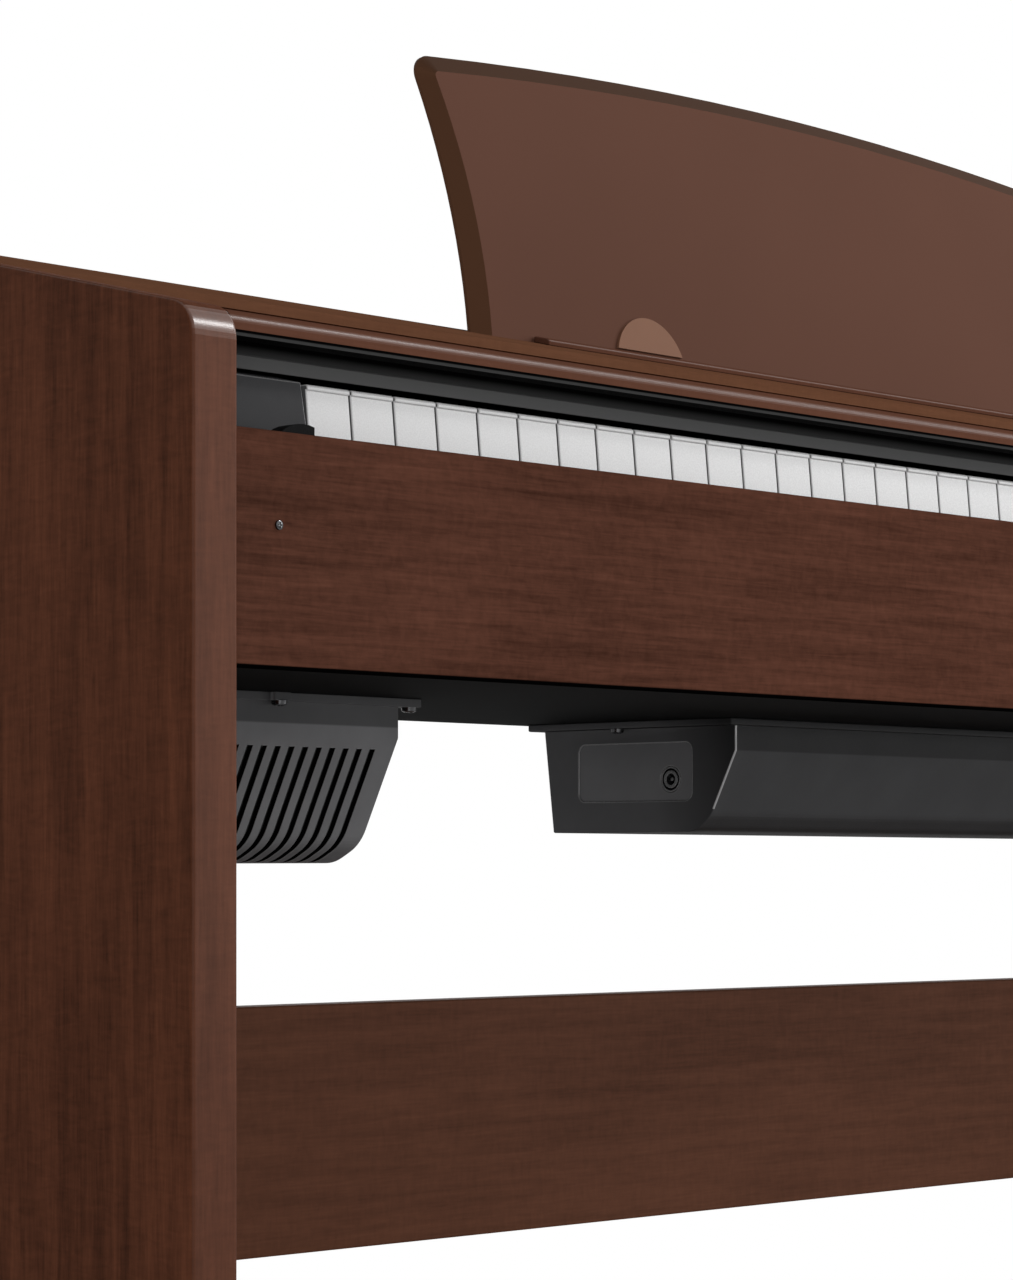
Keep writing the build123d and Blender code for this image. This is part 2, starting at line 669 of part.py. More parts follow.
def volume_knob():
    """Ribbed knob, sunk in the cheek, whose shaft goes down to the control board."""
    low = (Align.CENTER, Align.CENTER, Align.MIN)
    plane = control_plane(KNOB_AT, KNOB_H - KNOB_UP)
    cap = Cylinder(KNOB_R, KNOB_H, align=low)
    cap = chamfer(cap.faces().sort_by(Axis.Z)[-1].edges(), KNOB_GRIP_R)
    for spot in PolarLocations(KNOB_R, KNOB_GRIPS):
        cap -= spot * Cylinder(KNOB_GRIP_R, KNOB_H, align=low)
    shaft_l = CONTROL_DEPTH - FIT - KNOB_H + KNOB_UP
    shaft = Pos(0, 0, -shaft_l) * Cylinder(KNOB_SHAFT_R, shaft_l, align=low)
    return plane * (cap + shaft)


def control_board():
    """Small board under the controls, fixed to the left cheek's wall."""
    x0 = -INNER + FIT + CHEEK_WALL
    d0 = CHEEK_DROP + CONTROL_DEPTH / math.cos(math.atan(SLOPE))
    o0 = POWER_AT - BUTTON_R * 2
    o1 = KNOB_AT + KNOB_R * 2
    return sloped(x0, CONTROL_X + CONTROL_BOARD_W / 2, o0, o1, d0, d0 + BOARD_T)


def cheek_lug():
    """Low rounded lug on the key slip, in front of the left cheek."""
    x0 = -LUG_X - LUG_W / 2
    x1 = x0 + LUG_W
    base = Line((x0, SLIP_TOP), (x1, SLIP_TOP))
    side = Line((x1, SLIP_TOP), (x1, SLIP_TOP + LUG_SHOULDER))
    dome = ThreePointArc((x1, SLIP_TOP + LUG_SHOULDER), (-LUG_X, SLIP_TOP + LUG_H), (x0, SLIP_TOP))
    face = make_face([base, side, dome])
    return Pos(0, FRONT + SLIP_SET_BACK + SLIP_T, 0) * extrude(Plane.XZ * face, LUG_DEPTH)


def rest_plane():
    """Plane of the music rest's front face, with its origin where the face meets the top board."""
    lean = math.radians(REST_LEAN)
    spot = (0, FRONT + REST_AT, top_z(REST_AT) - TOP_SET_DOWN)
    return Plane(origin=spot, x_dir=(1, 0, 0), z_dir=(0, -math.cos(lean), math.sin(lean)))


def tongue(x, gap):
    """Tongue under the music rest, or with a gap its slot in the top board."""
    size = (TONGUE_W + 2 * gap, 2 * (TONGUE_L + gap), TONGUE_T + 2 * gap)
    return Pos(x, TONGUE_L / 3, -REST_T / 2) * Box(*size)


def rest_outline(side, top):
    """Music rest's outline, drawn in at the sides and at the top."""
    peak = (0, REST_SIDE_H + REST_ARCH - top)
    corners = [(sx * (REST_HALF_TOP - side), REST_SIDE_H - top) for sx in (-1, 1)]
    feet = [(sx * (REST_HALF_BASE - side), -REST_T) for sx in (-1, 1)]
    waists = [(sx * (REST_HALF_WAIST - side), REST_SIDE_H * REST_WAIST_AT) for sx in (-1, 1)]
    edges = [Line(feet[0], feet[1]), ThreePointArc(feet[0], waists[0], corners[0]),
             ThreePointArc(corners[0], peak, corners[1]), ThreePointArc(corners[1], waists[1], feet[1])]
    face = make_face(edges)
    return fillet(face.vertices().sort_by(Axis.Y)[-2:], REST_CORNER_R - side)


def music_rest():
    """Panel with an arched top, curved sides and a bevelled border, held by two tongues."""
    rear = Pos(0, 0, -REST_RIM_DEEP) * rest_outline(0, 0)
    panel = loft([rear, rest_outline(REST_RIM_SIDE, REST_RIM_TOP)], ruled=True)
    panel = rest_plane() * (panel + extrude(rear, REST_RIM_DEEP - REST_T))
    reach = REST_HALF_TOP + REST_T
    panel -= sloped(-reach, reach, TOP_FRONT, DEPTH, TOP_SET_DOWN, TOP_SET_DOWN + 3 * REST_T)
    for x in (-TONGUE_X, TONGUE_X):
        panel += rest_plane() * tongue(x, 0)
    return panel


def rest_ledge():
    """Low strip on the top board that stops sheets from sliding forward."""
    o1 = REST_AT - FIT
    strip = sloped(-LEDGE_HALF, LEDGE_HALF, o1 - LEDGE_DEPTH, o1, TOP_SET_DOWN - LEDGE_H, TOP_SET_DOWN)
    front = strip.edges().filter_by(Axis.X).sort_by(Axis.Y)[:2]
    return fillet(front.sort_by(Axis.Z)[-1], LEDGE_H * LEDGE_ROUND)


def rest_pad():
    """Half-round page pad on the music rest's face, just above the ledge."""
    foot = LEDGE_H + 2 * FIT
    disc = Pos(0, foot - PAD_SINK) * Circle(PAD_R)
    disc -= Pos(0, foot - PAD_R) * Rectangle(3 * PAD_R, 2 * PAD_R)
    return rest_plane() * Pos(PAD_X, 0, 0) * extrude(disc, PAD_T)


def housing(points, corner_r, x0, x1):
    """Open-topped box under the bed with a flange, from its outline's points and its round corners."""
    def face(top):
        shape = outline([(o, top if z == BED_Z else z) for o, z in points])
        return fillet([corner_at(shape, *points[k]) for k in (2, 3)], corner_r)

    flange = block(x0 - FLANGE_W, x1 + FLANGE_W, points[0][0] - FLANGE_T, points[-1][0] + FLANGE_T,
                   BED_Z - FLANGE_T, BED_Z)
    inner = offset(face(BED_Z + BOX_WALL), amount=-BOX_WALL)
    return along_x(face(BED_Z), x0, x1) + flange - along_x(inner, x0 + BOX_WALL, x1 - BOX_WALL)


def speaker_box():
    """Left speaker box with slots down its slanting front and round into its bottom."""
    points = [(SPEAKER_FRONT, BED_Z), (SPEAKER_FRONT, SPEAKER_LIP_Z), (SPEAKER_SLANT_BACK, SPEAKER_SLANT_Z),
              (SPEAKER_BOTTOM_FRONT, SPEAKER_BOTTOM_Z), (SPEAKER_BACK - BOX_DRAFT, SPEAKER_BOTTOM_Z),
              (SPEAKER_BACK, BED_Z)]
    box = housing(points, BOX_CORNER_R, -SPEAKER_OUT, -SPEAKER_IN)
    ear_x = -SPEAKER_IN + FLANGE_W
    ear_o = SPEAKER_FRONT - FLANGE_T
    box += block(ear_x, ear_x + EAR_W - FLANGE_W, ear_o, ear_o + EAR_DEPTH, BED_Z - FLANGE_T, BED_Z)
    tab_x = TAB_AT - SPEAKER_OUT
    box += block(tab_x - TAB_W / 2, tab_x + TAB_W / 2, ear_o - TAB_DEPTH, ear_o, BED_Z - FLANGE_T, BED_Z)
    count = int((SPEAKER_OUT - SPEAKER_IN - 2 * SLOT_MARGIN) / SLOT_PITCH) + 1
    slots = []
    for k in range(count):
        x = -SPEAKER_IN - SLOT_MARGIN - k * SLOT_PITCH
        slots.append(block(x - SLOT_W / 2, x + SLOT_W / 2, SPEAKER_FRONT, SLOT_BACK,
                           SPEAKER_BOTTOM_Z - BOX_WALL, SLOT_TOP_Z))
    return box - slots


def speaker_driver():
    """Left driver, facing down onto the speaker box's floor."""
    z0 = SPEAKER_BOTTOM_Z + BOX_WALL
    low = (Align.CENTER, Align.CENTER, Align.MIN)
    neck = DRIVER_H - MAGNET_H
    rim = Cylinder(DRIVER_R, DRIVER_RIM_T, align=low)
    basket = Pos(0, 0, DRIVER_RIM_T) * Cone(DRIVER_R * BASKET_MOUTH, MAGNET_R * BASKET_NECK,
                                                 neck - DRIVER_RIM_T, align=low)
    magnet = Pos(0, 0, neck) * Cylinder(MAGNET_R, MAGNET_H, align=low)
    hollow = Cone(DRIVER_R * CONE_MOUTH, MAGNET_R * CONE_NECK, neck * CONE_DEPTH, align=low)
    x = -(SPEAKER_OUT + SPEAKER_IN) / 2
    at = SPEAKER_BACK - BOX_DRAFT - BOX_WALL - DRIVER_R - FIT
    return Pos(x, FRONT + at, z0) * (rim + basket + magnet - hollow)


def socket_box():
    """Middle box with a shallow rounded recess on each end for the sockets."""
    points = [(SOCKET_FRONT, BED_Z), (SOCKET_FRONT, SOCKET_LIP_Z), (SOCKET_SLANT_BACK, SOCKET_SLANT_Z),
              (SOCKET_BOTTOM_FRONT, SOCKET_BOTTOM_Z), (SOCKET_BACK - BOX_DRAFT, SOCKET_BOTTOM_Z),
              (SOCKET_BACK, BED_Z)]
    box = housing(points, SOCKET_CORNER_R, -SOCKET_HALF, SOCKET_HALF)
    middle = (FRONT + (RECESS_FRONT + RECESS_BACK) / 2, (RECESS_Z0 + RECESS_Z1) / 2)
    recess = Pos(*middle) * RectangleRounded(RECESS_BACK - RECESS_FRONT, RECESS_Z1 - RECESS_Z0, RECESS_R)
    cut = along_x(recess, -SOCKET_HALF - 1, -SOCKET_HALF + RECESS_DEPTH)
    box -= both_sides(cut)
    box -= [socket_bore(-1, DC_AT, DC_HOLE_R)]
    return box - [socket_bore(1, o, PHONES_R) for o in phone_places()]


def socket_bore(side, offset, radius):
    """Hole through the socket box's end wall; side is -1 for the left end and 1 for the right."""
    hole = Rotation(0, 90, 0) * Cylinder(radius, 4 * BOX_WALL)
    return Pos(side * SOCKET_HALF, FRONT + offset, DC_Z) * hole


def phone_places():
    middle = (RECESS_FRONT + RECESS_BACK) / 2
    return (middle - PHONES_SPREAD / 2, middle + PHONES_SPREAD / 2)


def dc_jack():
    """Power inlet: a collar in the box's left end with a ring, a bore and a centre pin."""
    low = (Align.CENTER, Align.CENTER, Align.MIN)
    collar = Cylinder(DC_HOLE_R, DC_L, align=low)
    collar -= Pos(0, 0, DC_L - DC_SET_IN) * (Cylinder(DC_GROOVE_R, DC_L) - Cylinder(DC_RING_R, DC_L))
    collar -= Pos(0, 0, DC_SET_IN * 3) * Cylinder(DC_BORE_R, DC_L, align=low)
    pin = Cylinder(DC_PIN_R, DC_L - DC_SET_IN, align=low)
    face_x = -SOCKET_HALF + RECESS_DEPTH
    return Pos(face_x + DC_L, FRONT + DC_AT, DC_Z) * Rotation(0, -90, 0) * (collar + pin)


def phone_jacks():
    """Two headphone sockets in the box's right end."""
    low = (Align.CENTER, Align.CENTER, Align.MIN)
    body = Cylinder(PHONES_R, PHONES_L, align=low)
    body -= Pos(0, 0, BOX_WALL) * Cylinder(PHONES_BORE_R, PHONES_L, align=low)
    face_x = SOCKET_HALF - RECESS_DEPTH
    return [Pos(face_x - PHONES_L, FRONT + o, DC_Z) * Rotation(0, 90, 0) * body for o in phone_places()]


def dome(radius, rise):
    """Low dome of a screw's head, standing on the XY plane."""
    ball_r = (radius ** 2 + rise ** 2) / (2 * rise)
    ball = Pos(0, 0, rise - ball_r) * Sphere(ball_r)
    return ball & Cylinder(2 * radius, rise, align=(Align.CENTER, Align.CENTER, Align.MIN))


def screws():
    """Screw heads that show on the speaker boxes and the socket box, and the small pins in the key slip."""
    pin = Rotation(90, 0, 0) * dome(SLIP_PIN_R, SLIP_PIN_DOME)
    slip = Pos(-SLIP_PIN_X, FRONT + SLIP_SET_BACK, SLIP_PIN_Z) * pin
    down = Rotation(180, 0, 0) * dome(SCREW_R, SCREW_DOME)
    z = BED_Z - FLANGE_T
    edge = FRONT + SPEAKER_FRONT - FLANGE_T
    ear = Pos(-SPEAKER_IN + EAR_W - SCREW_R - FIT, edge + EAR_DEPTH / 2, z) * down
    tab = Pos(TAB_AT - SPEAKER_OUT, edge + FLANGE_T - SCREW_R - 2 * FIT, z) * down
    back = Pos(-(SPEAKER_OUT + FLANGE_W / 2), FRONT + SPEAKER_SCREW_AT, z) * down
    box = Pos(-SOCKET_HALF - FLANGE_W / 2, FRONT + SOCKET_SCREW_AT, z) * down
    found = []
    for spot in (slip, ear, tab, back, box):
        found += both_sides(spot)
    return found


def back_board():
    """Board across the back of the stand."""
    half = INNER - FIT
    board = block(-half, half, BOARD_FRONT, BOARD_FRONT + BACK_BOARD_T, BACK_BOARD_Z0,
                  BACK_BOARD_Z0 + BACK_BOARD_H)
    return fillet(board.faces().sort_by(Axis.Y)[0].edges().filter_by(Axis.X), SLIP_ARRIS)


def pedal_rail():
    """Low board across the stand that carries the pedal box."""
    half = INNER - FIT
    return block(-half, half, PEDAL_BOX_BACK, PEDAL_BOX_BACK + PEDAL_RAIL_T, PEDAL_BOX_Z0,
                 PEDAL_BOX_Z0 + PEDAL_RAIL_H)


def pedal_x(index):
    return (index - 1) * PEDAL_PITCH


def pedal_box():
    """Hollow box in front of the rail, with an opening for each pedal and holes for their axle."""
    z0 = PEDAL_BOX_Z0
    z1 = z0 + PEDAL_BOX_H
    w = PEDAL_WALL
    box = block(-PEDAL_HALF, PEDAL_HALF, PEDAL_BOX_FRONT, PEDAL_BOX_BACK, z0, z1)
    top_front = box.faces().sort_by(Axis.Z)[-1].edges().sort_by(Axis.Y)[0]
    box = fillet(top_front, PEDAL_BOX_R)
    box -= block(-PEDAL_HALF + w, PEDAL_HALF - w, PEDAL_BOX_FRONT + w, PEDAL_BOX_BACK, z0 + w, z1 - w)
    opening = PEDAL_W / 2 + PEDAL_SIDE_GAP
    for k in range(3):
        x = pedal_x(k)
        box -= block(x - opening, x + opening, PEDAL_BOX_FRONT - 1, PEDAL_BOX_FRONT + w + 1,
                     PEDAL_Z - PEDAL_T - PEDAL_TRAVEL, PEDAL_Z + PEDAL_T)
    axle = Rotation(0, 90, 0) * Cylinder(PEDAL_AXLE_R, 2 * PEDAL_HALF)
    return box - Pos(0, FRONT + PEDAL_AXLE_AT, PEDAL_Z) * axle


def pedal(index):
    """Pedal lever with a wide rounded toe, turning on the axle at its rear."""
    x = pedal_x(index)
    toe = Pos(x, FRONT + PEDAL_TIP + TOE_L / 2) * RectangleRounded(PEDAL_W, TOE_L, PEDAL_W * TOE_ROUND)
    neck_l = PEDAL_AXLE_AT + PEDAL_T - PEDAL_TIP - TOE_L / 2
    neck = Pos(x, FRONT + PEDAL_TIP + TOE_L / 2 + neck_l / 2) * Rectangle(PEDAL_NECK_W, neck_l)
    lever = Pos(0, 0, PEDAL_Z - PEDAL_T / 2) * extrude(toe + neck, PEDAL_T)
    lever = fillet(lever.faces().sort_by(Axis.Z)[-1].edges(), PEDAL_T * PEDAL_ROUND)
    hub = Rotation(0, 90, 0) * Cylinder(PEDAL_T, PEDAL_NECK_W)
    bore = Rotation(0, 90, 0) * Cylinder(PEDAL_AXLE_R + PIVOT_CLEAR, PEDAL_W * 2)
    pin = Pos(x, FRONT + PEDAL_AXLE_AT, PEDAL_Z)
    return lever + pin * hub - pin * bore


def pedal_axle():
    rod = Rotation(0, 90, 0) * Cylinder(PEDAL_AXLE_R, 2 * PEDAL_HALF)
    return Pos(0, FRONT + PEDAL_AXLE_AT, PEDAL_Z) * rod


def adjuster():
    """Screw foot that props the pedal box on the floor."""
    low = (Align.CENTER, Align.CENTER, Align.MIN)
    foot = fillet(Cylinder(ADJUSTER_R, ADJUSTER_H, align=low).edges(), ADJUSTER_H * ADJUSTER_ROUND)
    stem = Cylinder(ADJUSTER_STEM_R, PEDAL_BOX_Z0 - FIT, align=low)
    return Pos(0, FRONT + PEDAL_BOX_FRONT + 2 * ADJUSTER_R, 0) * (foot + stem)


def all_parts():
    """Every sub-part by name; a list holds separate solids of one node."""
    found = {
        "side_panel_left": side_panel(),
        "side_panel_right": mirror(side_panel(), Plane.YZ),
        "floor_glides": glides(),
        "key_slip": key_slip(),
        "key_bed": key_bed(),
        "rear_panel": rear_panel(),
        "top_board": top_board(),
        "lid_front_leaf": lid_front_leaf(),
        "lid_grip": lid_grip(),
        "lid_rear_leaf": lid_rear_leaf(),
        "lid_rails": both_sides(lid_rail()),
        "lid_deck": lid_deck(),
        "key_frame": key_frame(),
        "key_pivot_rod": pivot_rod(),
        "key_stop_felt": stop_felt(),
        "sensor_board": sensor_board(),
        "contact_strip": contact_strip(),
        "main_board": main_board(),
        "cheek_left": cheek_left() - control_openings(),
        "cheek_right": cheek_right(),
        "cheek_lugs": both_sides(cheek_lug()),
        "control_board": control_board(),
        "power_button": button(POWER_AT),
        "tone_button": button(TONE_AT),
        "rhythm_button": button(RHYTHM_AT),
        "volume_knob": volume_knob(),
        "music_rest": music_rest(),
        "rest_ledge": rest_ledge(),
        "rest_pad": rest_pad(),
        "speaker_box_left": speaker_box(),
        "speaker_box_right": mirror(speaker_box(), Plane.YZ),
        "speaker_drivers": both_sides(speaker_driver()),
        "socket_box": socket_box(),
        "power_inlet": dc_jack(),
        "headphone_sockets": phone_jacks(),
        "screw_heads": screws(),
        "back_board": back_board(),
        "pedal_rail": pedal_rail(),
        "pedal_box": pedal_box(),
        "pedal_soft": pedal(0),
        "pedal_sostenuto": pedal(1),
        "pedal_damper": pedal(2),
        "pedal_axle": pedal_axle(),
        "pedal_adjuster": adjuster(),
    }
    for name, solids in keys().items():
        found["keys_" + name] = solids
    return found


def main():
    os.makedirs("parts", exist_ok=True)
    for name, shape in all_parts().items():
        if isinstance(shape, list):
            shape = Compound(children=shape)
        shape.label = name
        export_step(shape, f"parts/{name}.step")


main()
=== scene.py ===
import json
import math

import bmesh
import bpy
from mathutils import Matrix, Vector


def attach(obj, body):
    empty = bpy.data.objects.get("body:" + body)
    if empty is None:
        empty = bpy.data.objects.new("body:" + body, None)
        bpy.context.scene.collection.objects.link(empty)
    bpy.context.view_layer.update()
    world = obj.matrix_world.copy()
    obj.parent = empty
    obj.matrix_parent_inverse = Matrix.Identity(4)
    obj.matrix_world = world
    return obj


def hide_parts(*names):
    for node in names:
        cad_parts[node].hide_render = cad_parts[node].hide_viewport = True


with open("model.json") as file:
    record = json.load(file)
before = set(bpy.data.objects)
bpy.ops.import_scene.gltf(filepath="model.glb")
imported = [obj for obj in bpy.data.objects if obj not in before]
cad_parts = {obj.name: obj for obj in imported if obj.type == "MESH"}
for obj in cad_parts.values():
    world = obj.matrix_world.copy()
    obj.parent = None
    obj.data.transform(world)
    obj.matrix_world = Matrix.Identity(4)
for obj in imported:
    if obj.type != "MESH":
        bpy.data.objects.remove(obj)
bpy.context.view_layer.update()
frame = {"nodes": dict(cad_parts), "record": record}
scene = bpy.context.scene

# Camera: level, below the keys, in front of the left side panel
CAMERA_AT = (-1.5504, -1.09975, 0.52422)
CAMERA_TURN = 46.957
CAMERA_LENS = 101.39
CAMERA_SHIFT = 0.1838

# Cabinet values that the looks and the added pieces follow, in metres and degrees
FRONT = -0.1495
DEPTH = 0.299
HEIGHT = 0.798
SLOPE = 71.3 / 299.0
SLOPE_AT_ORIGIN = HEIGHT - SLOPE * (DEPTH + FRONT)
REST_LEAN = 11.0
# SOCKET_LIP_Z, SOCKET_FRONT_Y and SPEAKER_LIP_Z place painted shade on the boxes' lips and ends.
SOCKET_LIP_Z = 0.5845
SOCKET_FRONT_Y = 0.009
SOCKET_PLATE_X = (0.2046, 0.2050)
# SOCKET_EDGE_Z and SOCKET_FRONT_EDGE_Y bound the painted highlights on the socket box's edges.
SOCKET_EDGE_Z = (0.560, 0.594)
SOCKET_FRONT_EDGE_Y = 0.03
SPEAKER_LIP_Z = 0.5875
SPEAKER_SLOTS_X = (0.4545, 0.6525)
SPEAKER_RIBS_Z = 0.58

# Meshes: merging distance in metres, angles in degrees
MERGE = 2e-5
FLAT_ANGLE = 0.6
SHARP_ANGLE = 35.0
SMOOTH_BOX_ANGLE = 18.0
CHEEK_ANGLE = 5.0

# Widths of the rounded edges, in metres
KEY_ROUND = 0.0005
CHEEK_ROUND = 0.0005
BOARD_ROUND = 0.0006
SOCKET_ROUND = 0.0007
FINE_ROUND = 0.0003


def node_of(tree, kind, **values):
    made = tree.nodes.new(kind)
    for key, value in values.items():
        setattr(made, key, value)
    return made


def link(tree, out, target):
    tree.links.new(out, target)


def new_material(name):
    made = bpy.data.materials.new(name)
    made.use_nodes = True
    tree = made.node_tree
    return made, tree, tree.nodes["Principled BSDF"]


def object_coords(tree, scale):
    """Object coordinates stretched by a scale for each axis."""
    coords = node_of(tree, "ShaderNodeTexCoord")
    mapping = node_of(tree, "ShaderNodeMapping")
    mapping.inputs["Scale"].default_value = scale
    link(tree, coords.outputs["Object"], mapping.inputs["Vector"])
    return mapping.outputs["Vector"]


def object_axes(tree):
    """Object coordinates as separate X, Y and Z outputs."""
    coords = node_of(tree, "ShaderNodeTexCoord")
    parts = node_of(tree, "ShaderNodeSeparateXYZ")
    link(tree, coords.outputs["Object"], parts.inputs[0])
    return parts.outputs


def noise(tree, scale, detail=3.0, rough=0.55, distort=0.0):
    made = node_of(tree, "ShaderNodeTexNoise")
    made.inputs["Scale"].default_value = 1.0
    made.inputs["Detail"].default_value = detail
    made.inputs["Roughness"].default_value = rough
    made.inputs["Distortion"].default_value = distort
    link(tree, object_coords(tree, scale), made.inputs["Vector"])
    return made.outputs["Fac"]


def math_node(tree, kind, a, b):
    made = node_of(tree, "ShaderNodeMath", operation=kind)
    for socket, value in zip(made.inputs, (a, b)):
        if isinstance(value, (int, float)):
            socket.default_value = value
        else:
            link(tree, value, socket)
    return made.outputs[0]


def ramp(tree, fac, stops):
    made = node_of(tree, "ShaderNodeValToRGB")
    band = made.color_ramp
    while len(band.elements) < len(stops):
        band.elements.new(0.5)
    for element, (place, colour) in zip(band.elements, stops):
        element.position = place
        element.color = (*colour, 1.0)
    link(tree, fac, made.inputs["Fac"])
    return made.outputs["Color"]


def mix_colour(tree, fac, a, b):
    made = node_of(tree, "ShaderNodeMix", data_type="RGBA")
    link(tree, fac, made.inputs["Factor"])
    for socket, value in ((made.inputs["A"], a), (made.inputs["B"], b)):
        if isinstance(value, tuple):
            socket.default_value = (*value, 1.0)
        else:
            link(tree, value, socket)
    return made.outputs["Result"]


def map_range(tree, value, low, high, to_low, to_high):
    made = node_of(tree, "ShaderNodeMapRange")
    for name, number in (("From Min", low), ("From Max", high), ("To Min", to_low), ("To Max", to_high)):
        made.inputs[name].default_value = number
    link(tree, value, made.inputs["Value"])
    return made.outputs["Result"]


def bump(tree, shader, height, strength, distance):
    made = node_of(tree, "ShaderNodeBump")
    made.inputs["Strength"].default_value = strength
    made.inputs["Distance"].default_value = distance
    link(tree, height, made.inputs["Height"])
    link(tree, made.outputs["Normal"], shader.inputs["Normal"])


def shade(colour, factor):
    return tuple(min(1.0, part * factor) for part in colour)


def grain_lines(tree, along, kinds):
    """Sum of noises stretched along the grain.

    Each kind is (scale along, scale across, weight, distortion).
    """
    total = None
    for with_grain, across, weight, distort in kinds:
        scale = tuple(with_grain if axis == along else across for axis in "XYZ")
        part = math_node(tree, "MULTIPLY", noise(tree, scale, 3.0, 0.58, distort), weight)
        total = part if total is None else math_node(tree, "ADD", total, part)
    return total


STRAIGHT = (
    (8.0, 170.0, 0.30, 0.3),
    (60.0, 800.0, 0.22, 0.0),
    (300.0, 90.0, 0.16, 0.8),
    (5.0, 14.0, 0.28, 0.4),
)
WAVY = (
    (12.0, 260.0, 0.34, 0.6),
    (60.0, 900.0, 0.22, 0.0),
    (6.0, 14.0, 0.22, 0.6),
    (220.0, 160.0, 0.18, 0.6),
)


def normal_axis(tree, axis):
    facing = node_of(tree, "ShaderNodeNewGeometry")
    parts = node_of(tree, "ShaderNodeSeparateXYZ")
    link(tree, facing.outputs["True Normal"], parts.inputs[0])
    return parts.outputs[axis]


def wood(name, tone, along, kinds=STRAIGHT, spread=0.5, rough=0.45, level=0.03, edge_tone=None,
         underside_shade_tone=None, nose=None):
    """Stained veneer.

    edge_tone colours the faces that don't look sideways, and the underside tone paints the faces that look
    down darker as painted shade.
    nose is the varnish on the rounded upper edge: (coat on flat faces, coat on turned faces,
    coat roughness, upward turn at which it fades).
    """
    made, tree, shader = new_material(name)
    grain = grain_lines(tree, along, kinds)

    def toned(base, amount):
        stops = ((0.34, shade(base, 1.0 - amount)), (0.50, base), (0.66, shade(base, 1.0 + amount)))
        return ramp(tree, grain, stops)

    colour = toned(tone, spread)
    gloss = map_range(tree, grain, 0.34, 0.66, rough + 0.06, rough - 0.04)
    upward = normal_axis(tree, "Z")
    if nose:
        flat, turned, coat_rough, fade = nose
        rise = map_range(tree, upward, 0.03, 0.20, flat, turned)
        coat = math_node(tree, "MULTIPLY", rise, map_range(tree, upward, fade, fade + 0.2, 1.0, 0.0))
        shader.inputs["Coat Roughness"].default_value = coat_rough
        gloss = math_node(tree, "MAXIMUM", gloss, map_range(tree, upward, fade, fade + 0.2, 0.0, 0.9))
    if edge_tone:
        side = math_node(tree, "ABSOLUTE", normal_axis(tree, "X"), 0.0)
        strip = map_range(tree, side, 0.55, 0.85, 1.0, 0.0)
        colour = mix_colour(tree, strip, colour, toned(edge_tone, spread * 0.6))
        if nose:
            coat = math_node(tree, "MULTIPLY", strip, coat)
    # Painted shade: faces that look down take the dark underside tone and full roughness.
    if underside_shade_tone:
        underside_shade_mask = map_range(tree, upward, -0.75, -0.45, 1.0, 0.0)
        colour = mix_colour(tree, underside_shade_mask, colour, underside_shade_tone)
        gloss = math_node(tree, "MAXIMUM", gloss, underside_shade_mask)
    if nose:
        link(tree, coat, shader.inputs["Coat Weight"])
    link(tree, colour, shader.inputs["Base Color"])
    link(tree, gloss, shader.inputs["Roughness"])
    shader.inputs["Specular IOR Level"].default_value = level
    bump(tree, shader, grain, 0.10, 0.0003)
    return made


def plastic(name, tone, rough=0.45, grain=0.12, spread=0.10, level=0.4, box=None):
    """Moulded plastic with a fine spark texture.

    box is (lip height, front, lip gain, underside gain, end gain, gain at the end's front edge); the gains
    are painted light and shade: a darker lip and underside for shade, lighter ends for light from the side,
    and ends that darken towards their front edge.
    """
    made, tree, shader = new_material(name)
    cloud = noise(tree, (28.0, 28.0, 28.0), 3.0)
    spark = noise(tree, (1900.0, 1900.0, 1900.0), 2.0)
    colour = ramp(tree, cloud, ((0.3, shade(tone, 1.0 - spread)), (0.7, shade(tone, 1.0 + spread))))
    if box:
        height, front, lip, under, end, end_front_shade_gain = box
        place = object_axes(tree)
        side = math_node(tree, "ABSOLUTE", normal_axis(tree, "X"), 0.0)
        ends = map_range(tree, side, 0.6, 0.8, 0.0, 1.0)
        near = map_range(tree, place["Y"], front, front + 0.045, 1.0, 0.0)
        # Painted light and shade, each mask scaled by its gain: lip, underside, ends, and the ends' front
        # part.
        painted_light_masks = (
            (map_range(tree, place["Z"], height - 0.0004, height + 0.0004, 0.0, 1.0), lip),
            (map_range(tree, normal_axis(tree, "Z"), -0.95, -0.6, 1.0, 0.0), under),
            (ends, end),
            (math_node(tree, "MULTIPLY", ends, near), end_front_shade_gain),
        )
        for mask, gain in painted_light_masks:
            stops = ((0.3, shade(tone, gain * (1.0 - spread))), (0.7, shade(tone, gain * (1.0 + spread))))
            colour = mix_colour(tree, mask, colour, ramp(tree, cloud, stops))
    link(tree, colour, shader.inputs["Base Color"])
    link(tree, map_range(tree, spark, 0.3, 0.7, rough - 0.05, rough + 0.07), shader.inputs["Roughness"])
    shader.inputs["Specular IOR Level"].default_value = level
    bump(tree, shader, spark, grain, 0.0002)
    return made


def metal(name, tone, rough):
    made, tree, shader = new_material(name)
    lines = noise(tree, (900.0, 60.0, 900.0), 2.0)
    stops = ((0.3, shade(tone, 0.9)), (0.7, shade(tone, 1.06)))
    link(tree, ramp(tree, lines, stops), shader.inputs["Base Color"])
    link(tree, map_range(tree, lines, 0.3, 0.7, rough - 0.04, rough + 0.06), shader.inputs["Roughness"])
    shader.inputs["Metallic"].default_value = 1.0
    return made


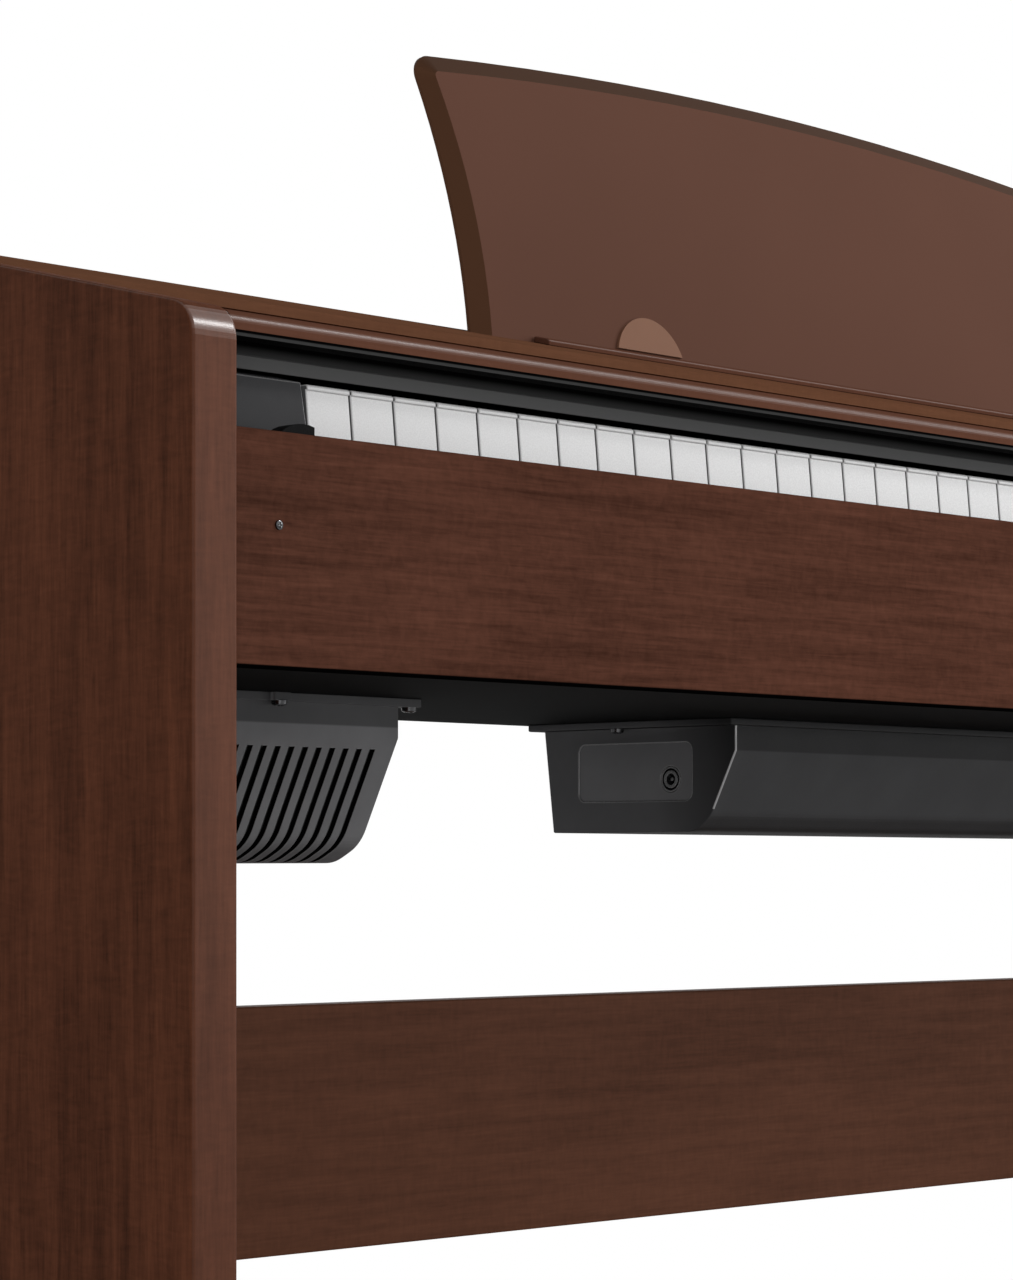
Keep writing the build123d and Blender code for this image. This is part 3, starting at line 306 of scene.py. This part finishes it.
def rest_material(name, face_tone, rim_shade_tone):
    """Satin brown panel whose bevelled border is painted darker than its face as shade, and darkest where
    it looks up.
    """
    made, tree, shader = new_material(name)
    cloud = noise(tree, (9.0, 9.0, 9.0), 2.0)
    spark = noise(tree, (1500.0, 1500.0, 1500.0), 2.0)
    face = ramp(tree, cloud, ((0.3, shade(face_tone, 0.97)), (0.7, shade(face_tone, 1.03))))
    # Painted shade on the border, deeper on the faces that look up.
    upward = map_range(tree, normal_axis(tree, "Z"), 0.25, 0.8, 1.0, 0.42)
    rim_painted_shade = mix_colour(tree, upward, shade(rim_shade_tone, 0.0), rim_shade_tone)
    facing = node_of(tree, "ShaderNodeNewGeometry")
    dot = node_of(tree, "ShaderNodeVectorMath", operation="DOT_PRODUCT")
    lean = math.radians(REST_LEAN)
    dot.inputs[1].default_value = (0.0, -math.cos(lean), math.sin(lean))
    link(tree, facing.outputs["True Normal"], dot.inputs[0])
    flat = map_range(tree, dot.outputs["Value"], 0.95, 0.99, 0.0, 1.0)
    link(tree, mix_colour(tree, flat, rim_painted_shade, face), shader.inputs["Base Color"])
    shader.inputs["Roughness"].default_value = 0.6
    shader.inputs["Specular IOR Level"].default_value = 0.03
    bump(tree, shader, spark, 0.05, 0.0002)
    return made


def grip_material(name, lip_tone, wall_tone, band_tone):
    """Grip under the lid: a painted shadow line above a grey lip, a wall with painted shade that darkens it
    upwards, a lighter band along its foot, and faces that look down painted black as shade.
    """
    made, tree, shader = new_material(name)
    place = object_axes(tree)
    rise = math_node(tree, "MULTIPLY", place["Y"], SLOPE)
    depth = math_node(tree, "SUBTRACT", math_node(tree, "ADD", rise, SLOPE_AT_ORIGIN), place["Z"])
    fac = map_range(tree, depth, 0.0, 0.025, 0.0, 1.0)
    recess_painted_shade = shade(wall_tone, 0.02)
    # Painted shade: a black line above the lip and a dark upper wall stand for the shadow under the lid's
    # nose.
    stops = (
        (0.345, BLACK), (0.355, lip_tone), (0.46, lip_tone), (0.48, recess_painted_shade), (0.56, recess_painted_shade), (0.70, wall_tone),
        (0.711, band_tone),
    )
    tone = ramp(tree, fac, stops)
    # Painted shade: faces that look down are black.
    underside_shade_mask = map_range(tree, normal_axis(tree, "Z"), -0.5, -0.2, 1.0, 0.0)
    link(tree, mix_colour(tree, underside_shade_mask, tone, BLACK), shader.inputs["Base Color"])
    spark = noise(tree, (1900.0, 1900.0, 1900.0), 2.0)
    link(tree, map_range(tree, spark, 0.3, 0.7, 0.6, 0.75), shader.inputs["Roughness"])
    shader.inputs["Specular IOR Level"].default_value = 0.02
    bump(tree, shader, spark, 0.12, 0.0002)
    return made


WOOD_TONE = (0.108, 0.0365, 0.0182)
EDGE_TONE = (0.110, 0.0395, 0.0213)
SLIP_TONE = (0.092, 0.0366, 0.0233)
BOARD_TONE = (0.104, 0.0395, 0.0210)
TOP_TONE = (0.169, 0.074, 0.040)
LID_TONE = (0.122, 0.052, 0.033)
BLACK = (0.002, 0.002, 0.002)

LOOKS = {
    "panel": wood("panel_wood", WOOD_TONE, "Z", spread=0.6, edge_tone=EDGE_TONE,
                  nose=(0.08, 0.90, 0.27, 0.6)),
    # The slip's and the lid's undersides are painted black as shade.
    "slip": wood("slip_wood", SLIP_TONE, "X", WAVY, 0.48, level=0.0, underside_shade_tone=BLACK),
    "board": wood("board_wood", BOARD_TONE, "X", spread=0.34),
    "top": wood("top_wood", TOP_TONE, "X", spread=0.2, rough=0.8, level=0.0),
    "lid": wood("lid_film", LID_TONE, "X", spread=0.16, level=0.0, underside_shade_tone=BLACK,
                nose=(0.0, 0.50, 0.33, 0.4)),
    "rest": rest_material("rest_brown_satin", (0.122, 0.0545, 0.0360), (0.116, 0.053, 0.0283)),
    "pad": plastic("pad_brown_satin", (0.232, 0.113, 0.068), 0.5, 0.06, 0.03, 0.08),
    "black_board": plastic("black_satin_board", BLACK, 0.75, 0.04, 0.10, 0.04),
    "dark": plastic("dark_plastic_matt", (0.012, 0.012, 0.0125), 0.45, level=0.2),
    "grey": plastic("grey_plastic_textured", (0.0265, 0.0265, 0.0285), 0.5, level=0.12),
    # Painted shade and light on the boxes: darker lips and undersides, and socket ends lightened and then
    # darkened towards the front.
    "box": plastic("box_plastic_textured", (0.046, 0.046, 0.048), 0.55, level=0.15,
                  box=(SOCKET_LIP_Z, SOCKET_FRONT_Y, 0.42, 0.15, 1.7, 0.4)),
    "speaker": plastic("speaker_plastic_textured", (0.150, 0.150, 0.155), 0.55, level=0.12,
                       box=(SPEAKER_LIP_Z, 0.0, 0.44, 0.6, 1.0, 1.0)),
    "deck": plastic("deck_plastic_textured", (0.080, 0.080, 0.080), 0.5, level=0.15),
    "grip": grip_material("grip_plastic_matt", (0.055,) * 3, (0.062,) * 3, (0.135,) * 3),
    "plate": plastic("plate_plastic_smooth", (0.126, 0.126, 0.131), 0.45, level=0.2),
    # Lighter looks for rounded edges are painted highlights: edge, box_edge and rib_edge.
    "edge": plastic("edge_gloss_painted_highlight", (0.15, 0.15, 0.153), 0.25, level=0.5),
    "box_edge": plastic("box_edge_gloss_painted_highlight", (0.42, 0.42, 0.425), 0.15, 0.02, level=1.0),
    "rib_edge": plastic("rib_edge_satin_painted_highlight", (0.17, 0.17, 0.174), 0.35, level=0.3),
    "lug": plastic("lug_plastic_black", BLACK, 0.6, level=0.05),
    "slot": plastic("slot_shadow_matt", BLACK, 0.8, level=0.02),
    "jack": plastic("jack_plastic_gloss", (0.020, 0.020, 0.021), 0.25, level=0.5),
    # Painted highlight on the rounded edges of the jack and inlet rings.
    "ring": plastic("jack_ring_gloss_painted_highlight", (0.16, 0.16, 0.163), 0.25, level=0.5),
    "white": plastic("white_key_smooth", (0.66, 0.66, 0.662), 0.26, 0.0, 0.004, 0.5),
    # The key sides are painted dark grey as shade.
    "key_side": plastic("key_side_painted_shade", (0.15, 0.15, 0.152), 0.5, 0.02, 0.03, 0.2),
    "black": plastic("black_key_satin", (0.010, 0.010, 0.011), 0.32, 0.03),
    "felt": plastic("red_felt_nap", (0.22, 0.018, 0.025), 0.95, 0.5, 0.2, 0.1),
    "rubber": plastic("black_rubber_matt", (0.012, 0.012, 0.012), 0.65, level=0.2),
    "circuit": plastic("green_board_coat", (0.02, 0.10, 0.04), 0.4, 0.05, 0.15),
    "steel": metal("bright_steel_turned", (0.56, 0.56, 0.57), 0.25),
    "screw": metal("black_screw_zinc", (0.10, 0.10, 0.103), 0.22),
    "brass": metal("polished_brass", (0.72, 0.54, 0.24), 0.18),
}

NODE_LOOKS = {
    "side_panel_left": "panel", "side_panel_right": "panel", "key_slip": "slip",
    "back_board": "board", "pedal_rail": "board", "pedal_box": "board", "top_board": "top",
    "lid_front_leaf": "lid", "lid_rear_leaf": "lid", "lid_grip": "grip", "lid_deck": "deck",
    "music_rest": "rest", "rest_ledge": "lid", "rest_pad": "pad", "key_bed": "black_board",
    "rear_panel": "black_board", "cheek_left": "grey", "cheek_right": "grey",
    "speaker_box_left": "speaker", "speaker_box_right": "speaker", "socket_box": "box",
    "key_stop_felt": "felt", "contact_strip": "rubber", "cheek_lugs": "lug",
    "floor_glides": "rubber", "pedal_adjuster": "rubber", "sensor_board": "circuit",
    "main_board": "circuit", "control_board": "circuit", "power_inlet": "jack",
    "headphone_sockets": "jack", "key_pivot_rod": "steel", "screw_heads": "screw",
    "pedal_axle": "steel", "pedal_soft": "brass", "pedal_sostenuto": "brass",
    "pedal_damper": "brass",
}

for name, obj in frame["nodes"].items():
    if name.startswith("keys_"):
        look = "black" if name.endswith("sharp") else "white"
    else:
        look = NODE_LOOKS.get(name, "dark")
    obj.data.materials.clear()
    obj.data.materials.append(LOOKS[look])

BODY_OF = {node: body for body, nodes in frame["record"]["behaviour"]["bodies"].items() for node in nodes}


def softened(node, width, edge_highlight_look=None, crease=SHARP_ANGLE, paint=None, painted=(), edge_paint=None):
    """A copy of a CAD node with its outer edges rounded.

    paint picks the look of a face, and edge_paint the look of a rounded edge: 0 the node's own look,
    1 the edge look, a lighter painted highlight where one is given, 2 and up the painted looks.
    """
    mesh = frame["nodes"][node].data.copy()
    if "custom_normal" in mesh.attributes:
        mesh.attributes.remove(mesh.attributes["custom_normal"])
    main = mesh.materials[0]
    for look in (LOOKS[edge_highlight_look] if edge_highlight_look else main, *(LOOKS[name] for name in painted)):
        mesh.materials.append(look)
    work = bmesh.new()
    work.from_mesh(mesh)
    bmesh.ops.remove_doubles(work, verts=work.verts, dist=MERGE)
    bmesh.ops.dissolve_limit(work, angle_limit=math.radians(FLAT_ANGLE), verts=work.verts, edges=work.edges)
    sharp = []
    for edge in work.edges:
        angle = edge.calc_face_angle(0.0)
        if edge.is_convex and angle > math.radians(SHARP_ANGLE):
            sharp.append(edge)
        elif angle > math.radians(crease):
            edge.smooth = False
    for face in work.faces:
        face.smooth = True
        if paint:
            face.material_index = paint(face)
    bmesh.ops.bevel(work, geom=sharp, offset=width, offset_type="OFFSET", segments=2, profile=0.5,
                    affect="EDGES", clamp_overlap=False, material=1)
    for face in work.faces:
        if edge_paint and face.material_index == 1:
            face.material_index = edge_paint(face.calc_center_median())
    work.to_mesh(mesh)
    work.free()
    piece = bpy.data.objects.new(node + "_soft", mesh)
    scene.collection.objects.link(piece)
    even = piece.modifiers.new("even_normals", "WEIGHTED_NORMAL")
    even.keep_sharp = True
    even.weight = 80
    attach(piece, BODY_OF[node])
    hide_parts(node)


def socket_paint(face):
    """The sunk plates on the socket box's ends."""
    across = abs(face.calc_center_median().x)
    low, high = SOCKET_PLATE_X
    return 2 if abs(face.normal.x) > 0.95 and low < across < high else 0


def socket_edge(middle):
    """Painted highlights: bright ones on the front edges, fainter ones round the plates, and none along the
    flange and the bottom.
    """
    low, high = SOCKET_EDGE_Z
    if not low < middle.z < high:
        return 0
    return 1 if middle.y < SOCKET_FRONT_EDGE_Y else 3


def speaker_paint(face):
    """The walls inside the speaker box's slots."""
    middle = face.calc_center_median()
    low, high = SPEAKER_SLOTS_X
    inside = low < abs(middle.x) < high and middle.z < SPEAKER_RIBS_Z
    return 2 if inside and abs(face.normal.x) > 0.9 else 0


def speaker_edge(middle):
    """Painted highlights on the edges of the ribs only."""
    return 1 if middle.z < SPEAKER_RIBS_Z else 0


def key_paint(face):
    """The sides of a white key, painted dark grey as shade."""
    return 2 if abs(face.normal.x) > 0.9 else 0


def islands(mesh):
    """Points of each separate solid in a mesh."""
    work = bmesh.new()
    work.from_mesh(mesh)
    bmesh.ops.remove_doubles(work, verts=work.verts, dist=MERGE)
    left = set(work.verts)
    groups = []
    while left:
        queue = [left.pop()]
        points = []
        while queue:
            vert = queue.pop()
            points.append(vert.co.copy())
            for edge in vert.link_edges:
                other = edge.other_vert(vert)
                if other in left:
                    left.remove(other)
                    queue.append(other)
        groups.append(points)
    work.free()
    return groups


def cross_head(work, foot, out, radius, height):
    """A domed screw head with a cross recess, standing on foot and facing out."""
    turn = out.to_track_quat("Z", "Y").to_matrix()
    rings, steps = 14, 48
    rows = []
    for ring in range(rings + 1):
        share = 1.0 - ring / rings
        row = []
        for step in range(steps if ring < rings else 1):
            angle = 2.0 * math.pi * step / steps
            u, v = share * math.cos(angle), share * math.sin(angle)
            rise = math.sqrt(max(0.0, 1.0 - 0.75 * share * share)) * 0.8 + 0.2 if ring else 0.0
            if max(abs(u), abs(v)) < 0.6 and min(abs(u), abs(v)) < 0.13:
                rise -= 0.55
            row.append(work.verts.new(foot + turn @ Vector((u * radius, v * radius, rise * height))))
        rows.append(row)
    for outer, inner in zip(rows, rows[1:]):
        for step in range(steps):
            after = (step + 1) % steps
            if len(inner) == 1:
                work.faces.new((outer[step], outer[after], inner[0]))
            else:
                work.faces.new((outer[step], outer[after], inner[after], inner[step]))
    work.faces.new(list(reversed(rows[0])))


def screws():
    """Heads with a cross recess in place of the plain CAD domes."""
    work = bmesh.new()
    for points in islands(frame["nodes"]["screw_heads"].data):
        low = Vector([min(point[k] for point in points) for k in range(3)])
        high = Vector([max(point[k] for point in points) for k in range(3)])
        size = high - low
        thin = min(range(3), key=lambda k: size[k])
        middle = (low + high) / 2.0
        wide = [k for k in range(3) if k != thin]

        def reach(level):
            near = [point for point in points if abs(point[thin] - level) < 1e-5]
            return max(math.hypot(*(point[k] - middle[k] for k in wide)) for point in near)

        sign = 1.0 if reach(low[thin]) > reach(high[thin]) else -1.0
        out = Vector([sign if k == thin else 0.0 for k in range(3)])
        foot = middle - out * size[thin] / 2.0
        cross_head(work, foot, out, size[wide[0]] / 2.0, size[thin])
    for face in work.faces:
        face.smooth = True
    mesh = bpy.data.meshes.new("screw_heads_cross")
    work.to_mesh(mesh)
    work.free()
    mesh.set_sharp_from_angle(angle=math.radians(SHARP_ANGLE))
    mesh.materials.append(LOOKS["screw"])
    piece = bpy.data.objects.new("screw_heads_cross", mesh)
    scene.collection.objects.link(piece)
    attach(piece, "cabinet")
    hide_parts("screw_heads")


for name in frame["nodes"]:
    if name.endswith("_sharp"):
        softened(name, KEY_ROUND)
    elif name.startswith("keys_"):
        softened(name, KEY_ROUND, paint=key_paint, painted=("key_side",))
# The cheeks' rounded edges take the edge look as a painted highlight.
for name in ("cheek_left", "cheek_right"):
    softened(name, CHEEK_ROUND, "edge", CHEEK_ANGLE)
for name in ("rest_ledge", "pedal_box"):
    softened(name, BOARD_ROUND)
# Socket box: painted highlights on its rounded edges, the plates in their own look.
softened("socket_box", SOCKET_ROUND, "box_edge", SMOOTH_BOX_ANGLE, socket_paint, ("plate", "edge"),
         socket_edge)
# Speaker boxes: painted highlights on the rib edges, and slot walls in the slot shadow look.
for name in ("speaker_box_left", "speaker_box_right"):
    softened(name, FINE_ROUND, "rib_edge", SMOOTH_BOX_ANGLE, speaker_paint, ("slot",), speaker_edge)
# The jack and inlet rims take the ring look as a painted highlight.
for name in ("power_inlet", "headphone_sockets"):
    softened(name, FINE_ROUND, "ring")
screws()


def add_camera():
    data = bpy.data.cameras.new("photo_camera")
    data.lens = CAMERA_LENS
    data.sensor_width = 36.0
    data.shift_y = CAMERA_SHIFT
    data.clip_start = 0.05
    camera = bpy.data.objects.new("photo_camera", data)
    camera.location = CAMERA_AT
    camera.rotation_euler = (math.radians(90.0), 0.0, math.radians(-CAMERA_TURN))
    scene.collection.objects.link(camera)
    scene.camera = camera


def new_lamp(name, size, power):
    data = bpy.data.lights.new(name, "AREA")
    data.shape = "RECTANGLE"
    data.size, data.size_y = size
    data.energy = power
    lamp = bpy.data.objects.new(name, data)
    scene.collection.objects.link(lamp)
    return lamp


def add_light(name, at, aim, size, power):
    lamp = new_lamp(name, size, power)
    lamp.location = at
    lamp.rotation_euler = (Vector(aim) - Vector(at)).to_track_quat("-Z", "Y").to_euler()


def add_strip(name, start, end, aim, width, power):
    """A long lamp from start to end, turned about its length towards aim."""
    first, last = Vector(start), Vector(end)
    middle = (first + last) / 2.0
    length = (last - first).length
    along = (last - first) / length
    towards = Vector(aim) - middle
    back = -(towards - along * towards.dot(along)).normalized()
    lamp = new_lamp(name, (length, width), power)
    turn = Matrix((along, back.cross(along), back)).transposed()
    lamp.matrix_world = Matrix.Translation(middle) @ turn.to_4x4()


def add_world():
    world = bpy.data.worlds.new("studio")
    scene.world = world
    world.use_nodes = True
    tree = world.node_tree
    ambient = tree.nodes["Background"]
    ambient.inputs["Color"].default_value = (1.0, 1.0, 1.0, 1.0)
    ambient.inputs["Strength"].default_value = 0.35
    seen = node_of(tree, "ShaderNodeBackground")
    seen.inputs["Color"].default_value = (1.0, 1.0, 1.0, 1.0)
    seen.inputs["Strength"].default_value = 1.0
    path = node_of(tree, "ShaderNodeLightPath")
    direct = math_node(tree, "MAXIMUM", path.outputs["Is Camera Ray"], path.outputs["Is Transmission Ray"])
    blend = node_of(tree, "ShaderNodeMixShader")
    link(tree, math_node(tree, "MAXIMUM", direct, path.outputs["Is Glossy Ray"]), blend.inputs["Fac"])
    link(tree, ambient.outputs[0], blend.inputs[1])
    link(tree, seen.outputs[0], blend.inputs[2])
    link(tree, blend.outputs[0], tree.nodes["World Output"].inputs["Surface"])


def add_floor():
    mesh = bpy.data.meshes.new("studio_floor")
    reach = 30.0
    mesh.from_pydata([(-reach, -reach, 0), (reach, -reach, 0), (reach, reach, 0), (-reach, reach, 0)], [],
                     [(0, 1, 2, 3)])
    floor = bpy.data.objects.new("studio_floor", mesh)
    scene.collection.objects.link(floor)
    made, tree, shader = new_material("pale_floor")
    shader.inputs["Base Color"].default_value = (0.78, 0.78, 0.78, 1.0)
    shader.inputs["Roughness"].default_value = 0.9
    glow = node_of(tree, "ShaderNodeEmission")
    glow.inputs["Strength"].default_value = 1.0
    path = node_of(tree, "ShaderNodeLightPath")
    away = node_of(tree, "ShaderNodeVectorMath", operation="LENGTH")
    link(tree, object_coords(tree, (1.0, 1.0, 1.0)), away.inputs[0])
    far = map_range(tree, away.outputs["Value"], 0.9, 2.4, 0.0, 1.0)
    fac = math_node(tree, "MULTIPLY", far, path.outputs["Is Camera Ray"])
    blend = node_of(tree, "ShaderNodeMixShader")
    link(tree, fac, blend.inputs["Fac"])
    link(tree, shader.outputs[0], blend.inputs[1])
    link(tree, glow.outputs[0], blend.inputs[2])
    link(tree, blend.outputs[0], tree.nodes["Material Output"].inputs["Surface"])
    mesh.materials.append(made)


add_camera()
add_world()
add_floor()
add_strip("high_strip", (0.85, -1.52, 2.33), (2.85, -0.86, 1.57), (0.0, -0.1, 0.7), 0.3, 10.0)
add_light("high_spot", (1.12, -1.35, 2.28), (-0.6, -0.15, 0.7), (0.3, 0.3), 14.0)
add_light("front_soft", (2.4, -2.3, 1.1), (0.2, 0.0, 0.6), (1.8, 1.8), 35.0)
add_light("front_left_soft", (-2.4, -2.4, 0.7), (-0.4, 0.0, 0.6), (1.6, 1.6), 20.0)
scene.view_settings.view_transform = "Standard"
